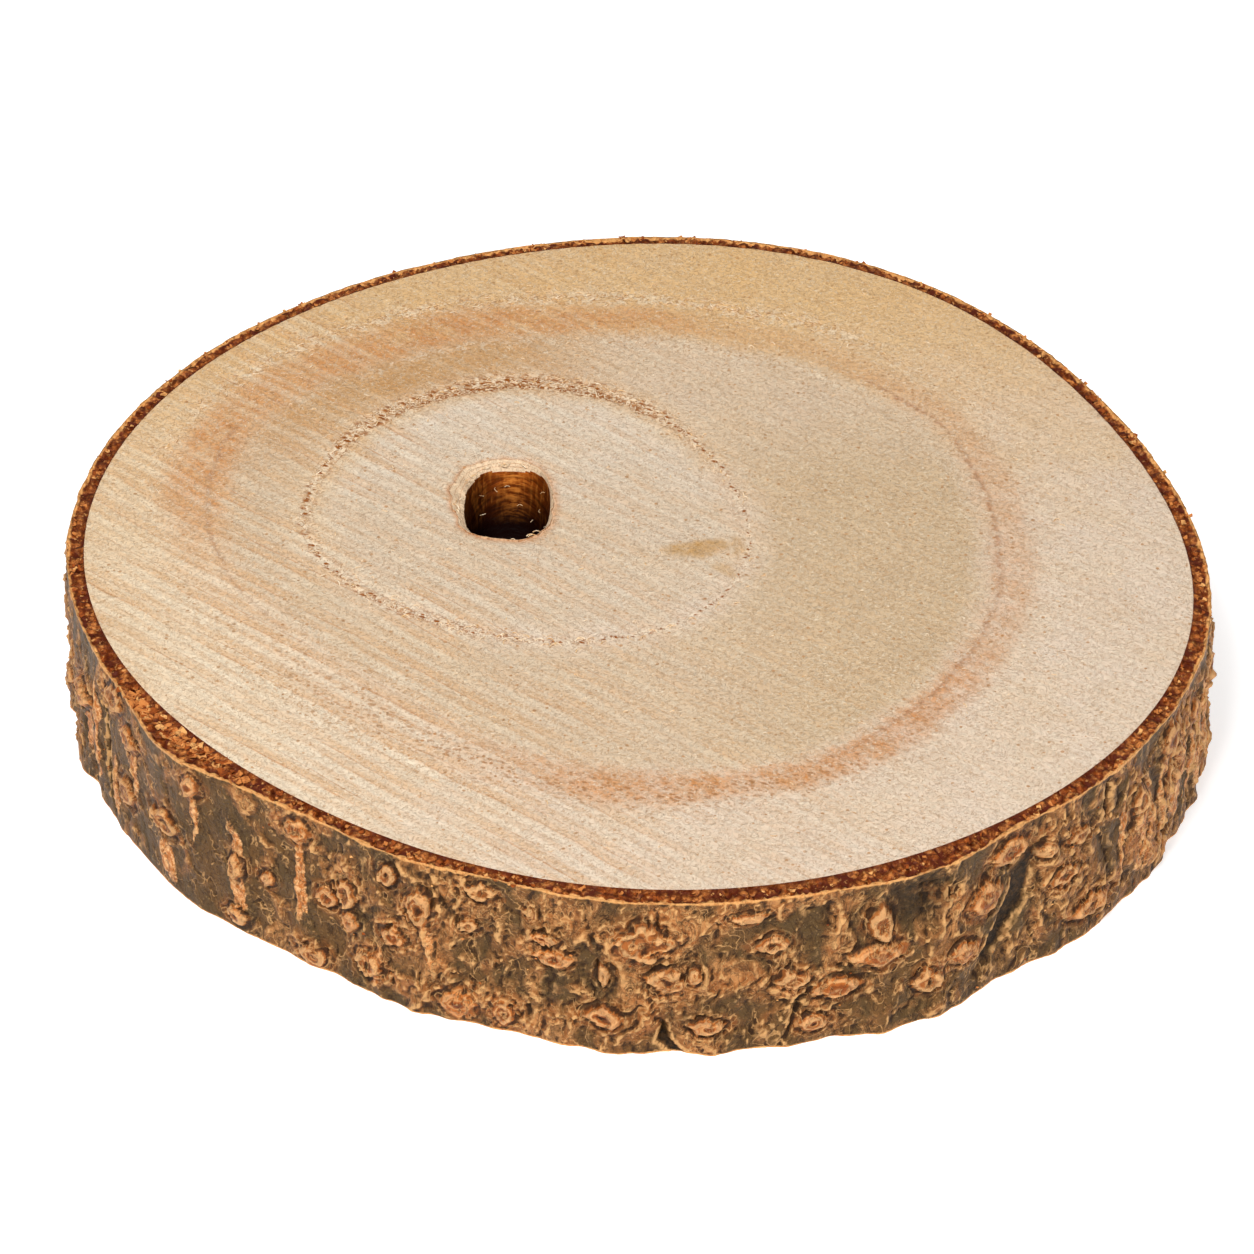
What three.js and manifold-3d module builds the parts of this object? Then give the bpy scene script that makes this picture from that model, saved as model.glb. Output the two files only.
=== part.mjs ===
// A slice sawn across a young tree trunk, with its bark still on.
// It is two pieces: the round of pale wood, with one hole drilled through it,
// and the ring of bark that grew round it. Both are cut flat by the same two
// saw cuts. Millimetres, +Z up; the origin is the middle of the underside.
import * as THREE from 'three';
import { mergeVertices } from 'three/addons/utils/BufferGeometryUtils.js';
import Module from 'manifold-3d';

const wasm = await Module();
wasm.setup();

// Size of the slice
const sliceThickness = 19;
const meanWoodRadius = 58.1;
const middleShift = { x: 0.28, y: 0.28 }; // brings the bark's box to the middle of the origin

// The trunk isn't a true circle: waves round it push the wood out and in
const trunkWaves = [
  { count: 2, push: 1.39, turn: -107 },
  { count: 3, push: 0.94, turn: -157 },
  { count: 4, push: 0.52, turn: -52 },
  { count: 5, push: 0.27, turn: -71 },
];

// The drilled hole: oval, because the drill leaned to and fro, with a torn mouth
const hole = {
  x: -14.3, y: 7.8,
  halfWidth: 4.3, // along X
  mouthHalfLength: 6.5, // along Y, at the top face
  footHalfLength: 5, // along Y, at the underside
  tornWidth: 0.5, tornWidthVaries: 0.26, // how far the broken lip reaches past the bore
  tornDepth: 0.9,
  tearsRound: 13,
};

// Bark: its thickness, where it is thicker or thinner, and the grain of its skin
const bark = {
  thickness: 1.95,
  thinnerAtBack: 0.4,
  thinnest: 0.8,
  ridgesRound: 44, ridgeHeight: 0.55, ridgeLength: 28,
  crestsRound: 96, crestHeight: 0.4, crestLength: 7,
  edgeLip: 0.25, edgeLipHeight: 1.2,
};
const barkSwells = [
  { at: 217, spread: 7, rise: 2, keptBelow: 0.45 },
  { at: 236, spread: 5, rise: -0.6, keptBelow: 1 },
  { at: 255, spread: 7, rise: -0.7, keptBelow: 0.6 },
  { at: 297, spread: 7, rise: 0.9, keptBelow: 0.7 },
  { at: 308, spread: 5, rise: -0.6, keptBelow: 1 },
  { at: 316, spread: 6, rise: 0.1, keptBelow: 6 },
];

// Breathing pores: raised ovals with a sunken middle. Degrees round the slice
// from +X, and millimetres up from the underside
const facingPores = [
  { at: 196, up: 9, wide: 2.6, tall: 8 },
  { at: 205, up: 17, wide: 5, tall: 3 },
  { at: 208.5, up: 14.5, wide: 4, tall: 2.6 },
  { at: 207, up: 6.5, wide: 4, tall: 3 },
  { at: 215.5, up: 8.6, wide: 5.5, tall: 2.8 },
  { at: 220.5, up: 16, wide: 2, tall: 5 },
  { at: 225.5, up: 8.5, wide: 2, tall: 4 },
  { at: 229.5, up: 8.6, wide: 2.2, tall: 2 },
  { at: 233.5, up: 16.5, wide: 3, tall: 3 },
  { at: 237, up: 7.2, wide: 3.2, tall: 3 },
  { at: 235, up: 1.4, wide: 3, tall: 2.2 },
  { at: 239.5, up: 11.5, wide: 3, tall: 3 },
  { at: 245, up: 8.6, wide: 2.8, tall: 2.4 },
  { at: 252, up: 2.4, wide: 3.8, tall: 3.6 },
  { at: 254.5, up: 17, wide: 3.2, tall: 1.8 },
  { at: 256.5, up: 2.4, wide: 2.6, tall: 3.2 },
  { at: 259.8, up: 13, wide: 2.8, tall: 2 },
  { at: 261.6, up: 10.8, wide: 4.4, tall: 2.6 },
  { at: 266.3, up: 4.4, wide: 3.8, tall: 2.8 },
  { at: 270, up: 13.8, wide: 5, tall: 4 },
  { at: 272.5, up: 9.2, wide: 4.4, tall: 2.6 },
  { at: 276, up: 3.5, wide: 4, tall: 2 },
  { at: 282, up: 13, wide: 3.2, tall: 2.4 },
  { at: 286, up: 2.5, wide: 3, tall: 2.2 },
  { at: 288, up: 6.6, wide: 6, tall: 3 },
  { at: 292, up: 10, wide: 6, tall: 3.4 },
  { at: 301, up: 6.8, wide: 4, tall: 2.8 },
  { at: 303.5, up: 12, wide: 5, tall: 4.6 },
  { at: 306.5, up: 16.2, wide: 5.5, tall: 3.4 },
  { at: 313.5, up: 9.6, wide: 3, tall: 2 },
  { at: 317.5, up: 3.4, wide: 6.4, tall: 2.8 },
  { at: 326, up: 8, wide: 3.2, tall: 12 },
  { at: 331, up: 15.6, wide: 3.8, tall: 3.8 },
  { at: 333, up: 11, wide: 3, tall: 4 },
];
const pore = { rise: 1, shoulder: 0.9, middleRadius: 0.45, middleSink: 0.55 };

// The far side's pores are placed by chance, evenly spread round it
const hiddenPores = {
  count: 30, from: -20, to: 188,
  lowest: 2, highest: 17,
  narrowest: 2.4, widest: 5.4,
  shortest: 2.2, tallest: 3.6,
};

// Places where the bark is broken away: a hollow under the rim, a slanting
// furrow and a split at the foot
const breaks = [
  { at: 296, up: 15.5, wide: 8, tall: 7, lean: 0, sink: 0.9 },
  { at: 307, up: 9, wide: 2.8, tall: 13, lean: 0.55, sink: 1 },
  { at: 272.7, up: 0.8, wide: 1.6, tall: 6, lean: -0.45, sink: 0.9 },
  { at: 319.3, up: 16, wide: 1.6, tall: 5, lean: 0, sink: 0.8 },
];

const seeds = { ridges: 1, crests: 2, tears: 3, pores: 7 };

// Facets
const columnCount = 220; // round the slice
const holeColumnCount = 44;
const barkRowCount = 12; // up the bark

const woodMaterial = new THREE.MeshStandardMaterial({ color: 0xdcc2a0, roughness: 0.72, metalness: 0 });
const barkMaterial = new THREE.MeshStandardMaterial({ color: 0x6b5640, roughness: 0.88, metalness: 0 });

const mmPerDegree = THREE.MathUtils.degToRad(meanWoodRadius);

function degreesApart(a, b) {
  return THREE.MathUtils.euclideanModulo(a - b + 180, 360) - 180;
}

// Chance value from 0 to 1 for a cell of a pattern
function chance(column, row, seed) {
  const mixed = Math.sin(column * 127.1 + row * 311.7 + seed * 74.7) * 43758.5453;
  return mixed - Math.floor(mixed);
}

// Smooth pattern from -1 to 1 that closes on itself round the slice
function pattern(degrees, z, cellsRound, cellHeight, seed) {
  const along = THREE.MathUtils.euclideanModulo(degrees / 360, 1) * cellsRound;
  const up = z / cellHeight;
  const column = Math.floor(along);
  const row = Math.floor(up);
  const nextColumn = (column + 1) % cellsRound;
  const across = THREE.MathUtils.smoothstep(along - column, 0, 1);
  const rise = THREE.MathUtils.smoothstep(up - row, 0, 1);
  const lower = THREE.MathUtils.lerp(chance(column, row, seed), chance(nextColumn, row, seed), across);
  const upperStart = chance(column, row + 1, seed);
  const upper = THREE.MathUtils.lerp(upperStart, chance(nextColumn, row + 1, seed), across);
  return THREE.MathUtils.lerp(lower, upper, rise) * 2 - 1;
}

function woodRadius(degrees) {
  let radius = meanWoodRadius;
  for (const wave of trunkWaves) {
    radius += wave.push * Math.cos(THREE.MathUtils.degToRad(wave.count * degrees - wave.turn));
  }
  return radius;
}

// Distance from the hole's own axis to its wall
function holeRadius(degrees, z) {
  const height = z / sliceThickness;
  const halfLength = THREE.MathUtils.lerp(hole.footHalfLength, hole.mouthHalfLength, height);
  const angle = THREE.MathUtils.degToRad(degrees);
  const bore = 1 / Math.hypot(Math.cos(angle) / hole.halfWidth, Math.sin(angle) / halfLength);
  const fromFace = Math.min(z, sliceThickness - z);
  const broken = Math.max(0, 1 - fromFace / hole.tornDepth); // over 1 outside the faces
  const tear = hole.tornWidthVaries * pattern(degrees, z, hole.tearsRound, sliceThickness, seeds.tears);
  return bore + broken * (hole.tornWidth + tear);
}

function swellThickness(degrees, z) {
  let thickness = bark.thickness - bark.thinnerAtBack * Math.sin(THREE.MathUtils.degToRad(degrees));
  for (const swell of barkSwells) {
    const away = degreesApart(degrees, swell.at) / swell.spread;
    const kept = THREE.MathUtils.lerp(swell.keptBelow, 1, z / sliceThickness);
    thickness += swell.rise * kept * Math.exp(-away * away);
  }
  return thickness;
}

// Distance from the middle of an oval mark, 1 at its edge
function ovalDistance(mark, degrees, z) {
  const above = z - mark.up;
  const along = degreesApart(degrees, mark.at) * mmPerDegree - above * (mark.lean ?? 0);
  return Math.hypot(along / (mark.wide / 2), above / (mark.tall / 2));
}

function scatterPores(spread) {
  const marks = [];
  for (let number = 0; number < spread.count; number++) {
    const [along, up, wide, tall] = [0, 1, 2, 3].map((row) => chance(number, row, seeds.pores));
    marks.push({
      at: THREE.MathUtils.lerp(spread.from, spread.to, (number + along) / spread.count),
      up: THREE.MathUtils.lerp(spread.lowest, spread.highest, up),
      wide: THREE.MathUtils.lerp(spread.narrowest, spread.widest, wide),
      tall: THREE.MathUtils.lerp(spread.shortest, spread.tallest, tall),
    });
  }
  return marks;
}
const pores = [...facingPores, ...scatterPores(hiddenPores)];

function poreRise(degrees, z) {
  let rise = 0;
  for (const mark of pores) {
    const distance = ovalDistance(mark, degrees, z);
    const dome = pore.rise * Math.exp(-((distance * pore.shoulder) ** 4));
    const middle = pore.middleSink * Math.exp(-((distance / pore.middleRadius) ** 2));
    rise = Math.max(rise, dome - middle);
  }
  return rise;
}

function breakDepth(degrees, z) {
  let depth = 0;
  for (const mark of breaks) {
    depth = Math.max(depth, mark.sink * Math.exp(-(ovalDistance(mark, degrees, z) ** 4)));
  }
  return depth;
}

function barkRadius(degrees, z) {
  const ridges = bark.ridgeHeight * pattern(degrees, z, bark.ridgesRound, bark.ridgeLength, seeds.ridges);
  const crests = bark.crestHeight * pattern(degrees, z, bark.crestsRound, bark.crestLength, seeds.crests);
  const fromCut = Math.min(z, sliceThickness - z);
  const lip = bark.edgeLip * Math.exp(-fromCut / bark.edgeLipHeight);
  const skin = ridges + crests + lip + poreRise(degrees, z) - breakDepth(degrees, z);
  return woodRadius(degrees) + Math.max(bark.thinnest, swellThickness(degrees, z) + skin);
}

// Each round shape is first turned with its walls at these plain radii, upright
// along Y, then each of its points goes to its real distance from the middle
const firstWall = 1;
const secondWall = 2;

function warp(turned, middle, radiusAt) {
  turned.rotateX(Math.PI / 2);
  turned.deleteAttribute('uv');
  turned.deleteAttribute('normal');
  const points = turned.getAttribute('position');
  for (let number = 0; number < points.count; number++) {
    const x = points.getX(number);
    const y = points.getY(number);
    const wall = Math.round(Math.hypot(x, y)); // 0 on the axis, else one of the walls
    const angle = Math.atan2(y, x);
    const radius = wall && radiusAt(THREE.MathUtils.radToDeg(angle), points.getZ(number), wall);
    points.setXY(number, middle.x + radius * Math.cos(angle), middle.y + radius * Math.sin(angle));
  }
  return turned;
}

function toSolid(geometry) {
  const merged = mergeVertices(geometry);
  return new wasm.Manifold(new wasm.Mesh({
    numProp: 3,
    vertProperties: merged.getAttribute('position').array,
    triVerts: Uint32Array.from(merged.getIndex().array),
  }));
}

function toGeometry(solid) {
  const { vertProperties, triVerts } = solid.getMesh();
  const geometry = new THREE.BufferGeometry();
  geometry.setAttribute('position', new THREE.BufferAttribute(vertProperties, 3));
  geometry.setIndex(new THREE.BufferAttribute(triVerts, 1));
  return geometry;
}

function namedMesh(name, geometry, material) {
  geometry.computeVertexNormals();
  const mesh = new THREE.Mesh(geometry, material);
  mesh.name = name;
  return mesh;
}

function woodRound() {
  const round = new THREE.CylinderGeometry(firstWall, firstWall, sliceThickness, columnCount);
  round.translate(0, sliceThickness / 2, 0);
  return toSolid(warp(round, middleShift, woodRadius));
}

// What the drill took out: it runs past both faces, still flaring, so that the
// faces cut it where the torn mouths are widest
function drilling() {
  const wall = [-1, 1, sliceThickness / hole.tornDepth - 1, sliceThickness / hole.tornDepth + 1]
    .map((step) => new THREE.Vector2(firstWall, step * hole.tornDepth));
  const past = { low: new THREE.Vector2(0, wall.at(0).y), high: new THREE.Vector2(0, wall.at(-1).y) };
  const profile = [past.low, ...wall, past.high];
  const middle = { x: hole.x + middleShift.x, y: hole.y + middleShift.y };
  return toSolid(warp(new THREE.LatheGeometry(profile, holeColumnCount), middle, holeRadius));
}

function barkRing() {
  const skin = [];
  for (let row = 0; row <= barkRowCount; row++) {
    skin.push(new THREE.Vector2(secondWall, sliceThickness * row / barkRowCount));
  }
  const foot = new THREE.Vector2(firstWall, 0);
  const profile = [foot, ...skin, new THREE.Vector2(firstWall, sliceThickness), foot];
  return warp(new THREE.LatheGeometry(profile, columnCount), middleShift, (degrees, z, wall) => (
    wall === firstWall ? woodRadius(degrees) : barkRadius(degrees, z)));
}

const group = new THREE.Group();
group.name = 'wood_slice';
group.add(
  namedMesh('sawn_wood', toGeometry(woodRound().subtract(drilling())), woodMaterial),
  namedMesh('bark', barkRing(), barkMaterial),
);

export default group;
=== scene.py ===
import math
import random

import bmesh
import bpy
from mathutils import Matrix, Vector


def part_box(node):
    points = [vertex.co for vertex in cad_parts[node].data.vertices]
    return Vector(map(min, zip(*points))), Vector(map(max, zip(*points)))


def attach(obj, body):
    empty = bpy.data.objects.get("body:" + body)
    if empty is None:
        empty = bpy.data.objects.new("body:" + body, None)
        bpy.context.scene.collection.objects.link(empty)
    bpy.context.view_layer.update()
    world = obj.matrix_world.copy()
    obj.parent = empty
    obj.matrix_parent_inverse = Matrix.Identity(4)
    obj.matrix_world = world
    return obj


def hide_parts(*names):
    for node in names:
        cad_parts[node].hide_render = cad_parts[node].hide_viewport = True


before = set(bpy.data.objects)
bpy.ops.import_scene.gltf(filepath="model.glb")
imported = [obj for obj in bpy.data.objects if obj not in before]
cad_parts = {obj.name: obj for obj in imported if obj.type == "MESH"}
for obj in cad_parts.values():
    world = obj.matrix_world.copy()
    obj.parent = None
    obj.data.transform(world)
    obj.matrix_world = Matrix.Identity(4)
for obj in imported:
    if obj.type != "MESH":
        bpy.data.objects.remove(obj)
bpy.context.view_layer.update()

mm = 0.001  # the tables and trees below work in millimetres and degrees, Blender in metres
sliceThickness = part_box("sawn_wood")[1].z / mm
sharpAngle = 50  # degrees between faces that meet in a sharp edge

# The trunk's outline, as the solids have it: waves round a circle
trunk = {
    "radius": 58.1,
    "middle": (0.28, 0.28),
    "waves": [(2, 1.39, -107), (3, 0.94, -157), (4, 0.52, -52), (5, 0.27, -71)],  # count, push, turn
}
# Two growth rings show on the sawn face, drawn the same way
innerRing = {
    "radius": 22.7, "middle": (-12.2, 6.8),
    "waves": [(1, 0.84, -45), (2, 1.23, -107), (3, 0.83, -131)],
    "wobble": 0.8, "tornBand": (1.0, 1.4),  # beyond the ring, half its width
}
outerRing = {
    "radius": 42.8, "middle": (-3.7, 0.8),
    "waves": [(1, 1.5, 53), (2, 2.57, -88), (3, 1.43, 123)],
    "wobble": 1.4, "tornBand": (4.6, 1.3),
}
# The camera that took the photograph
photoView = {
    "elevation": 36.0,      # degrees above the table
    "distance": 600.7,      # from the point looked at
    "target": (-1.22, -15.02, 19.0),
    "framePixels": 1254,
    "focalPixels": 5809.0,
    "sensor": 36.0,         # wide
}


# Small helpers for node trees of both kinds: they add to the tree under way, and a colour goes by its name

underWay = {"tree": None, "colours": {}}


def plug(value, socket):
    if isinstance(value, bpy.types.NodeSocket):
        underWay["tree"].links.new(value, socket)
    elif value is not None:
        socket.default_value = value


def put(kind, inputs=None, **settings):
    node = underWay["tree"].nodes.new(kind)
    for name, value in settings.items():
        setattr(node, name, value)
    for name, value in (inputs or {}).items():
        plug(value, node.inputs[name])
    return node


def calc(operation, *values):
    node = put("ShaderNodeMath", operation=operation)
    for number, value in enumerate(values):
        plug(value, node.inputs[number])
    return node.outputs[0]


def minus(first, second):
    return calc("SUBTRACT", first, second)


def scaled(value, factor, offset):
    return calc("MULTIPLY_ADD", value, factor, offset)


def equals(value, number):
    return calc("COMPARE", value, number, 0.0001)


def ratio(first, second):
    return calc("DIVIDE", first, second)


def total(*values):
    result = values[0]
    for value in values[1:]:
        result = calc("ADD", result, value)
    return result


def product(*values):
    result = values[0]
    for value in values[1:]:
        result = calc("MULTIPLY", result, value)
    return result


def largest(*values):
    result = values[0]
    for value in values[1:]:
        result = calc("MAXIMUM", result, value)
    return result


def hypotenuse(x, y):
    return calc("SQRT", total(product(x, x), product(y, y)))


def ramp(value, low, high, toLow=0.0, toHigh=1.0, smooth=False):
    node = put("ShaderNodeMapRange", interpolation_type="SMOOTHSTEP" if smooth else "LINEAR")
    for name, number in (("Value", value), ("From Min", low), ("From Max", high), ("To Min", toLow),
                         ("To Max", toHigh)):
        plug(number, node.inputs[name])
    return node.outputs["Result"]


def bell(value, middle, width):
    away = ratio(minus(value, middle), width)
    return calc("EXPONENT", product(away, away, -1.0))


def slab(value, middle, width):
    away = ratio(minus(value, middle), width)
    return calc("EXPONENT", product(away, away, away, away, -1.0))


def curved(value, points):
    node = put("ShaderNodeFloatCurve", {"Value": value})
    line = node.mapping.curves[0]
    line.points[0].location = points[0]
    line.points[1].location = points[-1]
    for x, y in points[1:-1]:
        line.points.new(x, y)
    node.mapping.update()
    return node.outputs[0]


def vector(x, y, z):
    return put("ShaderNodeCombineXYZ", {"X": x, "Y": y, "Z": z}).outputs[0]


def xyz(place):
    node = put("ShaderNodeSeparateXYZ", {0: place})
    return node.outputs["X"], node.outputs["Y"], node.outputs["Z"]


def stretched(place, x, y, z):
    return put("ShaderNodeVectorMath", {0: place, 1: (x, y, z)}, operation="MULTIPLY").outputs[0]


def shifted(place, x, y, z):
    return put("ShaderNodeVectorMath", {0: place, 1: (x, y, z)}, operation="ADD").outputs[0]


def turned(place, degrees):
    node = put("ShaderNodeVectorRotate", {"Vector": place, "Angle": math.radians(degrees)},
               rotation_type="Z_AXIS")
    return node.outputs[0]


def noise(place, scale, detail=2.0, roughness=0.5, distortion=0.0):
    node = put("ShaderNodeTexNoise", {"Vector": place, "Scale": scale, "Detail": detail,
                                      "Roughness": roughness, "Distortion": distortion})
    return node.outputs[0]


def swing(value, reach=1.0):
    return scaled(value, 2.0 * reach, -reach)


def bentBy(place, scale, reach):
    node = put("ShaderNodeTexNoise", {"Vector": place, "Scale": scale, "Detail": 2.0})
    pushed = put("ShaderNodeVectorMath", {0: node.outputs[1], 1: (2 * reach,) * 3, 2: place},
                 operation="MULTIPLY_ADD")
    return shifted(pushed.outputs[0], -reach, -reach, -reach)


def wrappedDegrees(degrees, at):
    start = calc("FLOORED_MODULO", total(degrees, 180.0 - at), 360.0)
    return minus(start, 180.0)


def zone(degrees, at, spread):
    return bell(wrappedDegrees(degrees, at), 0.0, spread)


def wavyRadius(degrees, shape):
    radius = shape["radius"]
    for count, push, turn in shape["waves"]:
        angle = scaled(degrees, math.radians(count), math.radians(-turn))
        radius = scaled(calc("COSINE", angle), push, radius)
    return radius


def acrossRing(place, ring):
    x, y, _ = xyz(shifted(place, -ring["middle"][0], -ring["middle"][1], 0))
    away = hypotenuse(x, y)
    degrees = calc("DEGREES", calc("ARCTAN2", y, x))
    slow = swing(noise(place, 0.07, 1.0), ring["wobble"])
    across = minus(away, total(wavyRadius(degrees, ring), slow))
    return across, degrees


def newTree(name, kind, inputs, outputs):
    # each socket is given by its type, or by its starting number
    tree = bpy.data.node_groups.new(name, kind)
    for names, direction in ((inputs, "INPUT"), (outputs, "OUTPUT")):
        for label, value in names.items():
            socketType = value if isinstance(value, str) else "Float"
            socket = tree.interface.new_socket(label, in_out=direction, socket_type="NodeSocket" + socketType)
            if socketType != value:
                socket.default_value = value
    underWay["tree"] = tree
    return tree, put("NodeGroupInput").outputs, put("NodeGroupOutput").inputs


# Geometry Nodes: helpers for rings and for scattered pieces

def ringGrid(columns, rows, seam):
    grid = put("GeometryNodeMeshGrid",
               {"Size X": 1.0, "Size Y": 1.0, "Vertices X": columns + 1, "Vertices Y": rows + 1})
    x, y, _ = xyz(put("GeometryNodeInputPosition").outputs[0])
    degrees = scaled(x, 360.0, seam + 180.0)
    row = scaled(y, float(rows), rows / 2)
    angle = calc("RADIANS", degrees)
    return grid.outputs["Mesh"], degrees, row, calc("COSINE", angle), calc("SINE", angle)


def keep(geometry, **values):
    for name, value in values.items():
        stored = {"Geometry": geometry, "Name": name, "Value": value}
        node = put("GeometryNodeStoreNamedAttribute", stored, data_type="FLOAT", domain="POINT")
        geometry = node.outputs[0]
    return geometry


def named(name, kind="FLOAT"):
    return put("GeometryNodeInputNamedAttribute", {"Name": name}, data_type=kind).outputs["Attribute"]


def closedRing(geometry, x, y, z, material):
    position = stretched(vector(x, y, z), mm, mm, mm)
    moved = put("GeometryNodeSetPosition", {"Geometry": geometry, "Position": position}).outputs[0]
    merged = put("GeometryNodeMergeByDistance", {"Geometry": moved, "Distance": 0.001 * mm}).outputs[0]
    return realized(merged, material)


def realized(geometry, material):
    smooth = put("GeometryNodeSetShadeSmooth", {"Geometry": geometry}).outputs[0]
    real = put("GeometryNodeRealizeInstances", {"Geometry": smooth}).outputs[0]
    return put("GeometryNodeSetMaterial", {"Geometry": real, "Material": material}).outputs[0]


def turnOutwards(mesh):
    work = bmesh.new()
    work.from_mesh(mesh)
    openEdges = sum(1 for edge in work.edges if len(edge.link_faces) != 2)
    if work.calc_volume(signed=True) < 0:
        bmesh.ops.reverse_faces(work, faces=work.faces[:])
        work.to_mesh(mesh)
    triangles = sum(len(face.verts) - 2 for face in work.faces)
    work.free()
    print(f"{mesh.name}: {triangles} triangles, {openEdges} open edges")


def grown(name, tree, values, baseMesh):
    source = bpy.data.objects.new(name + "Source", baseMesh)
    bpy.context.scene.collection.objects.link(source)
    modifier = source.modifiers.new("grow", "NODES")
    modifier.node_group = tree
    sockets = {item.name: item.identifier for item in tree.interface.items_tree if item.in_out == "INPUT"}
    for label, value in values.items():
        modifier[sockets[label]] = value
    bpy.context.view_layer.update()
    evaluated = source.evaluated_get(bpy.context.evaluated_depsgraph_get())
    mesh = bpy.data.meshes.new_from_object(evaluated)
    source.modifiers.remove(modifier)
    bpy.data.objects.remove(source)
    mesh.name = name
    turnOutwards(mesh)
    mesh.set_sharp_from_angle(angle=math.radians(sharpAngle))
    piece = bpy.data.objects.new(name, mesh)
    bpy.context.scene.collection.objects.link(piece)
    return piece


def pointCloud(name, places, floats=None, vectors=None):
    mesh = bpy.data.meshes.new(name)
    mesh.from_pydata(places, [], [])
    for label, values in (floats or {}).items():
        mesh.attributes.new(label, "FLOAT", "POINT").data.foreach_set("value", values)
    for label, values in (vectors or {}).items():
        flat = [number for value in values for number in value]
        mesh.attributes.new(label, "FLOAT_VECTOR", "POINT").data.foreach_set("vector", flat)
    return mesh


# The sawn round of wood

hole = {  # drilled right through, wider at the mouth, with a torn ledge on its far side
    "x": -14.02, "y": 8.08,
    "halfWidth": 4.6, "mouthHalfLength": 6.8, "footHalfLength": 5.0, "squareness": 2.6,
    "tornWidth": 0.42, "tornWidthVaries": 0.5, "tornDepth": 0.6,
    "ledgeAt": 160, "ledgeSpread": 62, "ledgeWidth": 1.15,
    "toolMarkPitch": 1.3, "toolMarkDepth": 0.04,
}
sawnWood = {
    "columns": 520, "faceRows": 104, "boreRows": 52, "undersideRows": 18,
    "sawPitch": 1.9, "sawDepth": 0.03, "sawSlant": 41,
    "tornDepth": 0.2, "seam": 90,
    "faceCrowding": 1.4, "boreCrowding": 1.6,  # how much the rows crowd together at the mouth of the bore
    "edgeWear": 0.03, "mouthSag": 0.22,
}


def sawPhase(place):
    _, across, _ = xyz(turned(place, sawnWood["sawSlant"]))
    drift = product(noise(place, 0.05, 2.0), 9.0)
    return scaled(across, 2 * math.pi / sawnWood["sawPitch"], drift)


def holeRadius(degrees, cosine, sine, z):
    height = ratio(z, sliceThickness)
    halfLength = ramp(height, 0.0, 1.0, hole["footHalfLength"], hole["mouthHalfLength"])
    power = hole["squareness"]
    across = calc("POWER", calc("ABSOLUTE", ratio(cosine, hole["halfWidth"])), power)
    along = calc("POWER", calc("ABSOLUTE", ratio(sine, halfLength)), power)
    bore = calc("POWER", total(across, along), -1 / power)
    rim = vector(cosine, sine, product(z, 0.04))
    chips = swing(noise(rim, 2.4, 2.0, 0.5), 1.7)
    ledge = product(zone(degrees, hole["ledgeAt"], hole["ledgeSpread"]), ramp(height, 0.4, 0.6))
    fromFace = calc("MINIMUM", z, minus(sliceThickness, z))
    depth = total(product(chips, 0.35), product(ledge, 0.4), hole["tornDepth"])
    broken = ramp(ratio(fromFace, depth), 1.0, 0.0)
    width = total(product(chips, hole["tornWidthVaries"]), product(ledge, hole["ledgeWidth"]),
                  hole["tornWidth"])
    steps = scaled(calc("SINE", product(broken, 16.0)), 0.05, broken)
    torn = product(steps, largest(width, 0.15))
    marks = calc("SINE", scaled(z, 2 * math.pi / hole["toolMarkPitch"], product(chips, 1.2)))
    rings = product(marks, hole["toolMarkDepth"], minus(1.0, broken))
    return total(bore, torn, rings), broken


woodStains = [  # at, wide, tall, turn (degrees), strength
    ((6.2, -0.8), 3.6, 1.5, 12, 1.0), ((9.0, -4.8), 1.8, 0.9, -35, 0.6), ((10.5, -0.5), 1.0, 2.2, 0, 0.5),
]


def blot(place, at, wide, tall, turn=0.0):
    spot = turned(shifted(place, -at[0], -at[1], 0), -turn)
    x, y, _ = xyz(stretched(spot, 1 / wide, 1 / tall, 0))
    return ramp(hypotenuse(x, y), 1.25, 0.6, smooth=True)


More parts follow.
